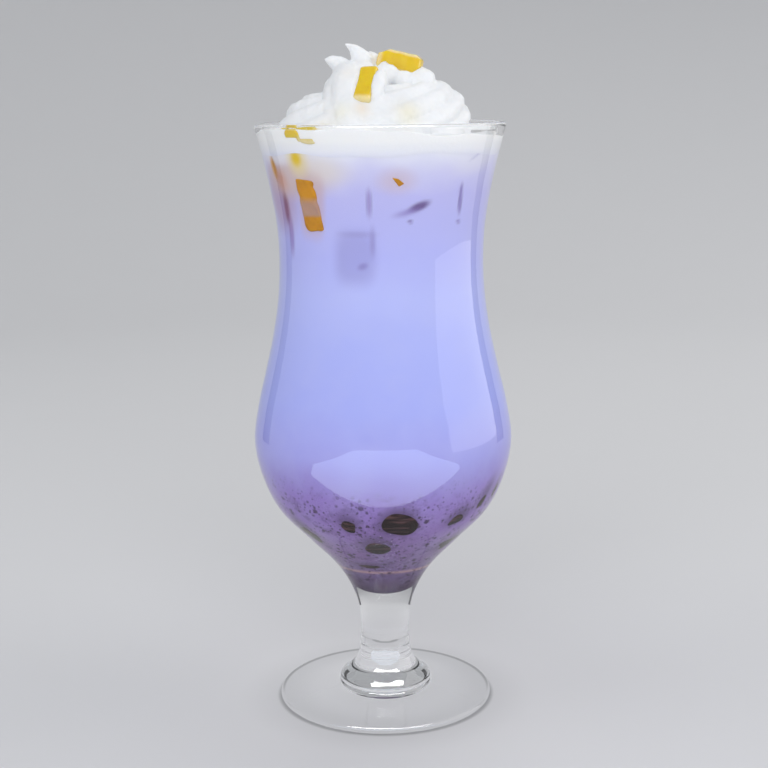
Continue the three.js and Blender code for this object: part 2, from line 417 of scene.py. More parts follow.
def jelly_finish(name, colour, deep, gloss):
    """Wet clear jelly: saturated in the middle, with a soft sheen. Milk or cream filming it, and on the top
    strip a painted highlight, is stored in its points."""
    paint = Paint(name, {
        "Roughness": 0.18, "Subsurface Weight": 0.35, "Subsurface Scale": 0.003,
        "Subsurface Radius": (1.0, 0.55, 0.08), "Specular IOR Level": 0.5 * gloss,
        "Coat Weight": 0.5 * gloss, "Coat Roughness": 0.08,
    })
    body = paint.mix(paint.noise(5, 2).above(0.35, 0.7) * 0.5, colour, deep)
    tint, cover = paint.tint("film_tint")
    ragged = cover + (paint.noise(1.8, 3, 0.6) - 0.5) * 0.5 * cover * (1 - cover) * 4
    paint.feed("Base Color", paint.mix(ragged, body, tint))
    paint.feed("Roughness", 0.14 + paint.noise(1.6, 3) * 0.16)
    paint.bump(paint.noise(2.4, 3), 0.12, 0.5)
    return paint.material


def pearl_finish(look):
    """Dark glossy tapioca, streaked where milk clings to it."""
    paint = Paint("tapioca_pearl", {"Roughness": 0.5, "Specular IOR Level": 0.0})
    streak = paint.noise(2.0, 3, 0.6, (0.25, 0.25, 2.4)).above(0.48, 0.68)
    paint.feed("Base Color", paint.mix(streak * 0.85, look.pearl, look.pearl_milk))
    paint.bump(paint.noise(1.5, 3), 0.15, 0.6)
    return paint.material


def table_finish(look):
    """A plain pale matt surface, with painted shade round the glass's foot, since the glass casts no
    shadow: a wide soft ring and a thin dark line at the foot's rim.
    """
    paint = Paint("pale_table", {"Roughness": 0.8, "Specular IOR Level": 0.0})
    plain = paint.mix(paint.noise(60, 3) * 0.15, look.floor, tuple(c * 0.94 for c in look.floor))
    flat = paint.node("ShaderNodeVectorMath", {"operation": "MULTIPLY"}, {0: paint.place(), 1: (1, 1, 0)})
    far = paint.node("ShaderNodeVectorMath", {"operation": "LENGTH"}, {0: flat}, out=1) / MM
    foot = FOOT_RADIUS
    # Painted shade: a soft ring round the foot and a thin dark line just at its rim.
    painted_shade_ring = far.above(foot + 16, foot - 2) * far.above(foot - 14, foot - 2) * 0.10
    close = far.above(foot + 1.6, foot - 0.2) * far.above(foot - 1.6, foot - 0.9) * 0.45
    paint.feed("Base Color", paint.mix(painted_shade_ring + close, plain, tuple(c * 0.15 for c in look.floor)))
    return paint.material


# What shows in the drink and on the cream

# Height in millimetres and the drink's colour there, from the bowl's point up to the cream. The copper
# tone at 48.2 mm is a painted caustic, a thin line of light where the drink's bottom meets the glass.
DRINK_TONES = [
    (38, (0.05, 0.022, 0.05)), (43, (0.09, 0.045, 0.12)), (47.4, (0.14, 0.075, 0.22)),
    # 48.2 mm: a painted caustic, a thin copper line of light.
    (48.2, (0.46, 0.27, 0.27)), (49.2, (0.165, 0.09, 0.25)), (57, (0.22, 0.122, 0.34)),
    (66, (0.275, 0.162, 0.47)), (77, (0.30, 0.20, 0.58)), (90, (0.37, 0.365, 0.82)),
    (105, (0.40, 0.44, 0.92)), (122, (0.43, 0.475, 0.94)), (140, (0.47, 0.51, 0.95)),
    (152, (0.46, 0.48, 0.93)), (171, (0.52, 0.51, 0.90)), (178, (0.65, 0.64, 0.92)),
    (183, (0.80, 0.81, 0.94)), (185, (0.88, 0.89, 0.95)),
]

# What shows dimly through the milk: angle in degrees from the front towards the right, height, half
# width and half height in millimetres, tilt in degrees, squareness, softness in millimetres, colour and
# strength.
STAINS = [
    ("ice_block", -14.5, 152.2, 6.0, 8.0, -2, 3.4, 2.8, (0.30, 0.29, 0.64), 0.55),
    ("ice_block_corner", -4.6, 157.0, 0.8, 4.0, 0, 2.5, 1.3, (0.26, 0.22, 0.52), 0.50),
    ("ice_block_top", -13, 159.4, 5.0, 0.9, 0, 2.5, 1.5, (0.28, 0.25, 0.56), 0.40),
    ("ice_hollow", -10.2, 149.6, 1.4, 0.9, 20, 2, 0.9, (0.20, 0.16, 0.46), 0.60),
    ("slanted_streak", 20.4, 167.7, 3.2, 1.2, 20, 2, 1.1, (0.13, 0.075, 0.24), 0.95),
    ("slanted_streak_tail", 14.0, 166.0, 3.4, 0.9, 14, 2, 1.6, (0.24, 0.18, 0.50), 0.65),
    ("right_streak", 45.8, 169.5, 0.75, 4.6, 4, 3, 0.7, (0.22, 0.17, 0.46), 0.80),
    ("right_streak_hook", 46.4, 162.4, 0.9, 0.5, -20, 2, 0.5, (0.22, 0.17, 0.46), 0.70),
    ("thin_streak", -6.0, 169.0, 0.7, 4.0, 0, 2.5, 0.9, (0.28, 0.21, 0.50), 0.70),
    ("left_streak", -59.8, 167.0, 1.5, 4.8, -3, 2.5, 1.3, (0.11, 0.035, 0.13), 0.92),
    ("left_streak_tail", -58.6, 158.5, 1.2, 6.0, -3, 2.5, 1.6, (0.24, 0.15, 0.46), 0.70),
    ("small_fleck", 15.8, 163.1, 0.8, 0.4, -10, 2, 0.4, (0.16, 0.10, 0.32), 0.80),
    ("upper_streak", 52.5, 182.4, 3.0, 0.5, 28, 2, 0.6, (0.42, 0.42, 0.70), 0.80),
    ("rosy_haze", -66.0, 170.0, 9.0, 10.0, 0, 2, 5.0, (0.42, 0.22, 0.30), 0.55),
    ("warm_haze", -50.0, 176.0, 13.0, 5.5, 0, 2, 5.0, (0.64, 0.47, 0.40), 0.75),
    ("beige_haze", -30.0, 179.0, 8.0, 4.0, -8, 2, 4.0, (0.76, 0.70, 0.66), 0.70),
    ("cream_cloud_left", -60.0, 182.5, 8.0, 2.2, 0, 2, 2.5, (0.80, 0.78, 0.84), 0.70),
    ("cream_cloud_right", 54.0, 181.0, 9.0, 3.5, 10, 2, 4.0, (0.78, 0.78, 0.88), 0.50),
    ("amber_halo", -38.5, 168.0, 4.4, 9.8, -9, 4, 2.2, (0.58, 0.40, 0.42), 0.55),
    ("dot_haze", 8.0, 175.6, 5.0, 3.4, 0, 2, 3.0, (0.62, 0.50, 0.60), 0.65),
    ("mango_haze", -43.6, 182.0, 3.6, 4.6, 0, 2, 3.0, (0.80, 0.66, 0.30), 0.85),
    ("mango_core", -44.0, 182.2, 1.9, 2.2, 0, 2, 1.3, (0.77, 0.53, 0.012), 1.0),
    ("orange_left", -65.0, 179.0, 1.7, 3.4, 6, 2, 1.1, (0.60, 0.30, 0.06), 0.95),
    ("orange_left_low", -60.0, 175.5, 2.6, 3.0, 20, 2, 2.4, (0.62, 0.32, 0.24), 0.75),
]

# Tapioca pearls: angle, height, half width, half height, half thickness, tilt, how far they reach into
# the wall, seed.
PEARLS = [
    (7.2, 69.6, 6.0, 5.4, 2.4, 3, 1.00, 3),
    (-18.6, 69.4, 3.3, 3.7, 2.4, 30, 0.50, 5),
    (-5.6, 60.6, 4.8, 5.0, 2.4, 4, 0.75, 9),
    (42.0, 69.4, 4.6, 2.8, 2.4, 24, 0.55, 13),
    (-54.0, 62.8, 4.2, 5.8, 2.4, 24, 0.75, 21),
    (54.5, 58.4, 5.4, 3.4, 2.4, 26, 0.75, 34),
    (58.6, 75.4, 2.2, 4.0, 2.4, -30, 0.24, 55),
    (69.0, 75.2, 1.8, 3.6, 2.4, -30, 0.36, 56),
    (-16.4, 51.0, 4.8, 1.5, 1.8, 4, 0.40, 89),
    (88.0, 66.0, 4.4, 4.2, 2.6, 10, 0.60, 14),
    (112.0, 72.0, 4.2, 4.4, 2.6, -15, 0.45, 15),
    (133.0, 62.0, 4.8, 4.4, 2.6, 5, 0.80, 16),
    (158.0, 70.0, 4.3, 4.0, 2.6, 20, 0.50, 17),
    (184.0, 63.5, 5.0, 4.4, 2.6, -8, 0.85, 18),
    (207.0, 71.5, 4.0, 4.2, 2.6, 12, 0.40, 19),
    (232.0, 64.0, 4.8, 4.4, 2.6, -20, 0.75, 20),
    (262.0, 69.5, 4.4, 4.0, 2.6, 8, 0.55, 22),
    (281.0, 60.0, 4.2, 4.2, 2.6, 0, 0.60, 23),
]

# Soft marks on the cream: stains where jelly lies just under it, and in the first two, grey, painted shade
# where its folds lie in shadow: place, reach, colour and strength.
CREAM_STAINS_AND_SHADE = [
    # Painted shade: two grey patches where the cream's folds lie in shadow.
    ((6.5, -25.0, 200.0), 5.0, (0.76, 0.77, 0.80), 0.55),
    ((-12.0, -27.0, 199.0), 4.0, (0.78, 0.79, 0.82), 0.50),
    ((-5.5, -26.0, 196.4), 2.6, (0.80, 0.66, 0.48), 0.50),
    ((8.5, -26.0, 195.2), 4.0, (0.84, 0.78, 0.54), 0.50),
    ((-11.5, -27.0, 196.0), 3.0, (0.86, 0.84, 0.66), 0.40),
    ((-8.8, -17.0, 205.5), 3.2, (0.90, 0.80, 0.66), 0.40),
    ((-21.0, -28.6, 187.4), 4.2, (0.84, 0.66, 0.42), 0.70),
]


def layered(layers):
    """Colour and cover of tones laid over one another by their masks, the last on top."""
    colour = cover = 0.0
    for tone, mask in layers:
        colour = colour * (1 - mask[:, None]) + np.array(tone) * mask[:, None]
        cover = cover * (1 - mask) + mask
    return colour / np.maximum(cover, 1e-6)[:, None], cover


def drink_tints(points):
    """Colour and cover of what shows dimly, at points on the drink's wall, and of painted shade. u runs
    along the girth and v up the wall from each stain, turned by its tilt; d = (|u / w|^p + |v / h|^p)^(1/p)
    and the cover falls from its strength to nothing round d = 1, over the stain's softness. Round each
    pearl a painted shade darkens the drink, standing for the shadow that the dark pearl casts in the milk."""
    angle = np.arctan2(points[:, 0], -points[:, 1])
    run = np.concatenate([[0], np.cumsum(np.linalg.norm(np.diff(INSIDE, axis=0), axis=1))])
    radius = np.hypot(points[:, 0], points[:, 1])
    up = np.interp(points[:, 2], INSIDE[:, 1], run)

    def stain(at, height, w, h, tilt, power, soft, tone, strength):
        u = radius * ((angle - math.radians(at) + np.pi) % (2 * np.pi) - np.pi)
        v = up - np.interp(height, INSIDE[:, 1], run)
        c, s = math.cos(math.radians(tilt)), math.sin(math.radians(tilt))
        across, along = (c * u + s * v) / w, (c * v - s * u) / h
        d = (np.abs(across) ** power + np.abs(along) ** power) ** (1 / power)
        give = soft / math.sqrt(w * h)
        return tone, strength * smooth(1 + give, 1 - give, d)

    # Painted shade round each pearl, a little higher and larger than the pearl.
    painted_pearl_shade = (0.085, 0.05, 0.13)
    return layered([stain(*row[1:]) for row in STAINS] + [
        stain(at, height + 1.0, w * 1.05, h * 1.1, tilt, 2, 3.0, painted_pearl_shade, 0.62 + 0.2 * reach)
        for at, height, w, h, _, tilt, reach, _ in PEARLS
    ])


def cream_tints(points):
    """Colour and cover of the stains and painted shade on the cream: each falls off as a bell of the
    distance from its place. On the glass the cream's top band is painted nearly white, painted light that
    makes it brighter than the cream's own colour, and below it turns into the drink's own colours."""
    layers = []
    for place, reach, tone, strength in CREAM_STAINS_AND_SHADE:
        far = np.linalg.norm(points - np.array(place), axis=1) / reach
        layers.append((tone, strength * np.exp(-far * far)))
    wall = smooth(-2.5, -0.6, np.hypot(points[:, 0], points[:, 1]) - inner_radius(points[:, 2]))
    # Painted light: the cream's band on the glass just under the rim is whitened.
    painted_light_band = wall * smooth(193, 190.5, points[:, 2])
    milky = wall * smooth(188.2, 185.0, points[:, 2])
    heights, tones = zip(*DRINK_TONES)
    drink = np.stack([np.interp(points[:, 2], heights, column) for column in np.array(tones).T], axis=1)
    return layered([*layers, ((0.97, 0.975, 0.98), 0.9 * painted_light_band), (drink, milky)])


# Sizes and colours a user would change


def tone(name, description, default):
    return FloatVectorProperty(
        name=name, description=description, subtype="COLOR", size=3, min=0, max=1, default=default)


def amount(name, description, default, **more):
    return FloatProperty(name=name, description=description, default=default, **more)


class BUBBLE_PG_drink(bpy.types.PropertyGroup):
    pale: tone("Milk cloud", "Colour of the paler milk clouds in the drink", (0.56, 0.58, 0.90))
    cloud: amount("Cloudiness", "How much the pale clouds show", 0.14, min=0, max=1, subtype="FACTOR")
    speck: tone("Specks", "Colour of the fine specks that settle low in the bowl", (0.05, 0.025, 0.07))
    pearl: tone("Pearls", "Colour of the tapioca pearls", (0.009, 0.0025, 0.003))
    pearl_milk: tone("Milk on pearls", "Colour of the streaks of milk on a pearl", (0.105, 0.045, 0.05))
    around: IntProperty(name="Steps around", description="Steps round the drink", default=360, min=48)


class BUBBLE_PG_cream(bpy.types.PropertyGroup):
    white: tone("Cream", "Colour of the whipped cream", (0.865, 0.877, 0.89))
    shade: tone("Cream shade", "Colour of its thinner, milkier parts", (0.79, 0.80, 0.83))
    detail: amount("Detail", "Grain of the cream's surface", 0.00046, min=0.0001, unit="LENGTH")
    flutes: IntProperty(name="Flutes", description="Ridges left by the piping nozzle", default=13, min=4)


class BUBBLE_PG_jelly(bpy.types.PropertyGroup):
    yellow: tone("Mango jelly", "Colour of the jelly on the cream", (0.80, 0.56, 0.006))
    yellow_deep: tone("Mango jelly, deep", "Colour where the jelly is thick", (0.72, 0.44, 0.004))
    amber: tone("Sunk jelly", "Colour of the jelly in the drink", (0.64, 0.28, 0.002))
    amber_deep: tone("Sunk jelly, deep", "Colour where sunk jelly is thick", (0.36, 0.13, 0.001))
    # The cream film's colour also paints the highlight along the top strip's top face.
    pale: tone("Cream film", "Colour of the film of cream along its edges", (0.90, 0.80, 0.54))
    film: tone("Milk film", "Colour where milk films a sunk strip", (0.46, 0.28, 0.22))
    width: amount("Strip width", "Width of a jelly strip", 0.0056, min=0.001, unit="LENGTH")
    height: amount("Strip height", "Height of a jelly strip", 0.0052, min=0.001, unit="LENGTH")


class BUBBLE_PG_stage(bpy.types.PropertyGroup):
    floor: tone("Table", "Colour of the plain table", (0.68, 0.68, 0.69))
    sky: amount("Sky light", "Strength of the even light from above", 0.4, min=0)
    key: amount("Key light", "Brightness of the tall soft panel on the right", 1.16, min=0)
    fill: amount("Fill light", "Brightness of the large soft panels round it", 2.12, min=0)
    glint: amount("Glint", "Brightness of the card mirrored in the bowl", 3.6, min=0)


# Operators


def add(name, data):
    """A new object in the scene."""
    made = bpy.data.objects.new(name, data)
    bpy.context.scene.collection.objects.link(made)
    return made


def show(mesh, material, slot, *nodes):
    """Makes a finished piece of a mesh, riding on the part, with its material and the nodes that it
    replaces. Its slot is not used."""
    piece = add(mesh.name, mesh)
    mesh.materials.append(material)
    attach(piece, "root")
    if nodes:
        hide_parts(*nodes)


# The most steps round the glass, whose outline has many more points than the drink's.
GLASS_STEPS = 240


class BUBBLE_OT_glass(bpy.types.Operator):
    """Turn the stemmed tulip glass"""

    bl_idname = "bubble.glass"
    bl_label = "Glass"

    def execute(self, context):
        around = min(context.scene.bubble_drink.around, GLASS_STEPS)
        edge = np.radians(np.linspace(-90, 80, 18))
        half = FOOT_EDGE / 2
        foot_edge = np.stack([FOOT_RADIUS - half + half * np.cos(edge), half + half * np.sin(edge)], axis=1)
        foot_top = curve_through(
            [foot_edge[-1], (30, 2.75), (24, 3.4), (19, 4.2), (COLLAR_RADIUS + 0.9, 4.75),
             (COLLAR_RADIUS - 0.1, 5.6), (COLLAR_RADIUS, 6.6), (14.6, 7.8), (13.1, 9.3), (10.6, 11.4),
             (9.1, 14), BOWL_OUTSIDE[0]], 80)
        bowl = evenly(curve_through(BOWL_OUTSIDE, 400), 150)
        turn = np.radians(np.linspace(20, 160, 15))
        round_lip = np.stack([np.cos(turn), np.sin(turn)], axis=1) - 1
        lip = np.array([RIM_RADIUS, GLASS_TOP]) + LIP * round_lip
        inside = evenly(INSIDE[::-1], 150)
        profile = np.concatenate([foot_edge, foot_top[1:-1], bowl, lip, inside[:-1]])
        rings = turned(profile, around)
        glass = mesh_of("tulip_glass", skin(rings, (0, 0, 0), (0, 0, BOWL_INSIDE[0][1])))
        show(glass, clear_glass(), "glass", "glass")
        return {"FINISHED"}


class BUBBLE_OT_drink(bpy.types.Operator):
    """Fill the glass with taro milk tea"""

    bl_idname = "bubble.drink"
    bl_label = "Taro milk tea"

    def execute(self, context):
        look = context.scene.bubble_drink
        wall = evenly(INSIDE[INSIDE[:, 1] <= MILK_LEVEL], 240)[1:]
        slope = unit(np.gradient(wall, axis=0))
        wall = wall + MILK_REACH * np.stack([slope[:, 1], -slope[:, 0]], axis=1)
        top = np.array([[wall[-1, 0] * 0.98, MILK_LEVEL], [wall[-1, 0] * 0.6, MILK_LEVEL]])
        rings = turned(np.concatenate([wall, top]), look.around)
        floor = BOWL_INSIDE[0][1] - MILK_REACH
        drink = mesh_of("taro_milk_tea", skin(rings, (0, 0, floor), (0, 0, MILK_LEVEL)))
        put_tint(drink, "sunk_tint", *drink_tints(places(drink)))
        show(drink, taro_milk_tea(look), "taro_milk", "taro_milk")
        return {"FINISHED"}


class BUBBLE_OT_pearls(bpy.types.Operator):
    """Sink the tapioca pearls to the bottom of the bowl"""

    bl_idname = "bubble.pearls"
    bl_label = "Tapioca pearls"

    def execute(self, context):
        balls = []
        for angle, height, w, h, thick, tilt, reach, seed in PEARLS:
            centre, (girth, up, out) = on_wall(angle, height, thick - reach)
            c, s = math.cos(math.radians(tilt)), math.sin(math.radians(tilt))
            axes = np.stack([c * girth + s * up, c * up - s * girth, out])
            balls.append(blob(centre, axes, np.array([w, h, thick]), seed, 0.17, 40, 60))
        show(mesh_of("tapioca_pearls", *balls), pearl_finish(context.scene.bubble_drink), "taro_milk")
        return {"FINISHED"}


# Amber jelly pieces in the drink: lower and upper end as angle and height, width, and the shares of its
# length between which milk films it.
SUNK_STRIPS = [
    ("amber_strip", (-38.8, 160.0), (-41.6, 175.8), 7.4, (0.25, 0.70)),
    ("orange_fleck", (10.4, 174.2), (7.0, 176.4), 1.7, (0.9, 1.0)),
    ("side_strip", (99.0, 164.0), (94.0, 178.0), 5.4, (0.20, 0.55)),
    ("back_strip", (150.0, 148.0), (157.0, 162.0), 5.4, (0.45, 0.8)),
    ("back_strip_high", (196.0, 172.0), (200.0, 183.0), 5.2, (0.5, 0.7)),
    ("far_strip", (250.0, 158.0), (243.0, 171.0), 5.2, (0.1, 0.5)),
]


class BUBBLE_OT_sunk_jelly(bpy.types.Operator):
    """Lay the jelly pieces that the milk half hides against the glass"""

    bl_idname = "bubble.sunk_jelly"
    bl_label = "Sunk jelly"

    def execute(self, context):
        look = context.scene.bubble_jelly
        strips, shares = [], []
        for seed, (_, low, high, width, film) in enumerate(SUNK_STRIPS):
            body, share = wall_strip(low, high, width, 4.4, seed)
            strips.append(body)
            start, end = film
            inside = smooth(start, start + 0.08, share) * smooth(end, end - 0.2, share)
            shares.append(inside * 0.92)
        amber = mesh_of("sunk_jelly", *strips)
        cover = np.concatenate(shares)
        put_tint(amber, "film_tint", np.tile(look.film, (len(cover), 1)), cover)
        show(amber, jelly_finish("amber_jelly", look.amber, look.amber_deep, 0.05), "jelly")
        return {"FINISHED"}


def wall_strip(low, high, width, thick, seed):
    """A jelly strip lying against the wall from its low to its high end. At share s along it and angle
    t round its section, the section is a rounded rectangle whose outer side follows the wall and
    reaches into it; both ends are rounded and cut a little askew. Also gives each point's share along
    it."""
    s = np.linspace(0, 1, 70)[:, None]
    t = np.linspace(0, 2 * np.pi, 88, endpoint=False)[None] + 0.02
    square = lambda v: np.sign(v) * np.abs(v) ** 0.28
    close = np.clip(np.minimum(s, 1 - s) * math.hypot(high[1] - low[1], 3) / 0.6, 0, 1)
    drawn = 0.86 + 0.14 * np.sqrt(1 - (1 - close) ** 2)
    across = width / 2 * square(np.cos(t)) * drawn
    through = thick / 2 * (square(np.sin(t)) * drawn - 1)
    askew = across / width * (1.0 - 1.6 * s)
    angle = np.radians(low[0] + (high[0] - low[0]) * s)
    height = low[1] + (high[1] - low[1]) * s + askew
    r = inner_radius(height) + through + JELLY_REACH
    turn = angle + across / inner_radius(height)
    points = np.stack([r * np.sin(turn), -r * np.cos(turn), height], axis=-1)
    points = points + 0.10 * ripples(points, 3.0, seed)[..., None]
    share = np.concatenate([np.repeat(s[:, 0], t.size), [0, 1]])
    return skin(points), share


# Jelly strips on the cream: the middles of their two ends in millimetres.
JELLY_STRIPS = {
    "jelly_strip_top": ((0.4, -4, 212.1), (12.9, -4.2, 209)),
    "jelly_strip_front": ((-5.3, -24.5, 197.9), (-2.7, -15, 207.4)),
    "jelly_strip_side": ((-26.6, -20.4, 188.2), (-16.6, -28.8, 188.2)),
}


class BUBBLE_OT_jelly(bpy.types.Operator):
    """Lay the mango jelly strips on the cream"""

    bl_idname = "bubble.jelly"
    bl_label = "Mango jelly"

    def execute(self, context):
        look = context.scene.bubble_jelly
        finish = jelly_finish("mango_jelly", look.yellow, look.yellow_deep, 1.0)
        width, height = look.width / MM, look.height / MM
        for seed, (name, (start, end)) in enumerate(JELLY_STRIPS.items()):
            middle, length, axes = strip_frame(start, end)
            longer = 0.3 * axes[0]
            body, faces = bar(np.array(start) - longer, np.array(end) + longer, width, height, 1.0)
            l, w, h = ((body - middle) @ axes.T).T
            if name == "jelly_strip_top":
                h = np.where(h > 0, h + 0.45, 1.2 * h + 0.2)
                h = np.where(h > 0, h * (1 - 0.55 * smooth(-3.0, -6.8, l) - 0.25 * smooth(4.5, 6.8, l)), h)
                l = l + 0.25 * w
            body = middle + np.stack([l, w, h], axis=1) @ axes
            body = body + 0.12 * ripples(body, 5.0, 40 + seed)[:, None] * unit(body - middle)
            near = np.abs(np.stack([l / (length / 2 + 0.3), w / width * 2, h / height * 2]))
            edge = np.sort(near, axis=0)[1]
            cover = 0.55 * smooth(0.80, 1.0, edge)
            # On the top strip a pale band along its top face is a painted highlight, in the cream film's
            # colour.
            if name == "jelly_strip_top":
                cover = np.maximum(cover, 0.62 * smooth(0.75, 1.0, h / height * 2) * (w < 2.5))
            if name == "jelly_strip_front":
                cover = np.maximum(cover, 0.6 * smooth(-4.8, -6.4, l))
            if name == "jelly_strip_side":
                seen = 1 - smooth(0.85, 1.15, np.hypot((l + 1.6) / 2.8, (body[:, 2] - 189.4) / 1.7))
                low = (body[:, 2] - 188.0 + 0.15 * l) / 0.9
                tail = 1 - smooth(0.8, 1.2, np.hypot((l - 3.2) / 3.4, low))
                reach = inner_radius(body[:, 2]) - 0.3 + 0.85 * np.maximum(seen, 0.8 * tail)
                radius = np.hypot(body[:, 0], body[:, 1])
                body[:, :2] *= np.where(w < -width / 2 + 1.2, reach / radius, 1)[:, None]
                cover = np.maximum(cover, 0.6 * tail * (1 - seen))
            mesh = mesh_of(name + "_jelly", (body, faces))
            put_tint(mesh, "film_tint", np.tile(look.pale, (len(body), 1)), cover)
            show(mesh, finish, "jelly", name)
        return {"FINISHED"}


# Paths of the piped cream in millimetres: the ropes of the swirl and of the tongue that falls over its
# front, lumps as middle and radius, and torn tips as path, thickness at the root and how late they thin.
SWIRL_PATH = [
    (4, 11, 185), (-9, 13, 186), (-18.1, 0.5, 186.6), (-12.4, -11.2, 187.4), (0, -15, 189),
    (11, -10.6, 190.6), (15.7, 0, 191.8), (9.8, 9.6, 193.8), (0, 12.6, 196.2), (-8, 7, 198.6),
]
TONGUE_PATH = [
    (-6, 8, 198), (-6.9, 0, 200.4), (-7, -9, 200.6), (-7.1, -15, 196.8), (-7.5, -18, 191), (-8.2, -19, 185),
]
CREAM_LUMPS = [
    ((2.4, -5.4, 207.0), 4.2), ((7.6, -4.4, 205.0), 4.7), ((12.6, -4.8, 204.2), 4.9),
    ((16.4, -4, 200.4), 4.6),
]
TIPS = [
    ([(-5, -4, 205), (-5.6, -4.2, 210.8), (-7.8, -4.4, 214.2), (-10.8, -4.6, 216.2)], 4.2, 1.6),
    ([(-10.2, -4, 203.6), (-11.4, -4.6, 208), (-13.6, -5, 210.2), (-17, -5.2, 211.6)], 4.6, 1.6),
    ([(-2.4, -2, 205), (-2.5, -2.2, 210), (-3, -2.4, 214)], 4.2, 3.5),
]


def cream_edge(a):
    """Height of the cream's uneven lower edge on the glass, round the angle a."""
    return MILK_LEVEL - 4.6 + 0.5 * np.sin(5 * a + 0.6) + 0.3 * np.sin(11 * a + 2)


def settle(points):
    """Fits the cream to the glass and the jelly. Near the wall, the radius becomes the glass's own and
    a little more, and less towards the lower edge, which so ends inside the drink. At the front strip
    the cream sinks to a hollow with a soft lip, and at the top one to a ledge whose ends rise over the
    strip's. There its height along the strip's up axis is at most a lid's."""
    radius, z = np.hypot(points[:, 0], points[:, 1]), points[:, 2]
    a = np.arctan2(points[:, 1], points[:, 0])
    near = (radius > inner_radius(z) - 0.9) & (z < 193) & (z > MILK_LEVEL - 8)
    reach = CREAM_REACH - 0.07 * (1 - smooth(0, 3.5, z - cream_edge(a)))
    points[:, :2] *= np.where(near, (inner_radius(z) + reach) / np.maximum(radius, 1), 1)[:, None]
    middle, length, axes = strip_frame(*JELLY_STRIPS["jelly_strip_front"])
    l, w, h = ((points - middle) @ axes.T).T
    edge = np.minimum(length / 2 - 0.4 - np.abs(l), 2.3 - np.abs(w))
    lid = 2.95 - 1.65 * smooth(-0.5, 0.9, edge)
    lower(points, axes[2], h, lid, (edge > -0.5) & (h < 9))
    middle, length, axes = strip_frame(*JELLY_STRIPS["jelly_strip_top"])
    l, w, h = ((points - middle) @ axes.T).T
    lid = -2.9 + 4.2 * smooth(-2.4, -6.6, l) + 2.2 * smooth(3.6, 6.4, l) + 6 * smooth(6.2, 7.6, np.abs(l))
    lid += 0.5 * np.clip(-w - 2.8, 0, None) ** 2
    lower(points, axes[2], h, lid, (w < 2.8) & (w > -7) & (np.abs(l) < 7.6) & (h < 9))
    return points


def lower(points, up, height, lid, where):
    """Lowers the points there that stand above a lid onto it."""
    over = where & (height > lid)
    points[over] -= ((height - lid)[:, None] * up)[over]


def cream_floor():
    """The cream that spreads over the drink to the glass: out along its underside, up the wall to an
    uneven edge, and back over a slightly domed top that is higher at the front left."""
    a = np.linspace(0, 2 * np.pi, 240, endpoint=False)
    edge = 189 - 1.11 * np.cos(a) - 0.74 * np.sin(a)
    edge = edge + 0.45 * np.sin(3 * a + 1.0) + 0.3 * np.sin(7 * a + 0.4) + 0.2 * np.sin(13 * a)
    low = cream_edge(a)
    rows = [(24, MILK_LEVEL - 0.2 + 0 * a)]
    for share in np.linspace(0, 1, 9):
        z = low + (edge - low) * share
        rows.append((inner_radius(z), z))
    for share, rise in ((0.985, 0.35), (0.94, 0.45), (0.85, 0.25), (0.7, 0.3), (0.4, 0.8)):
        z = edge + rise + 0.25 * np.sin(9 * a + 20 * share)
        rows.append(((inner_radius(edge) + CREAM_REACH) * share, z))
    return skin(np.stack([np.stack([r * np.cos(a), r * np.sin(a), z], axis=-1) for r, z in rows]))


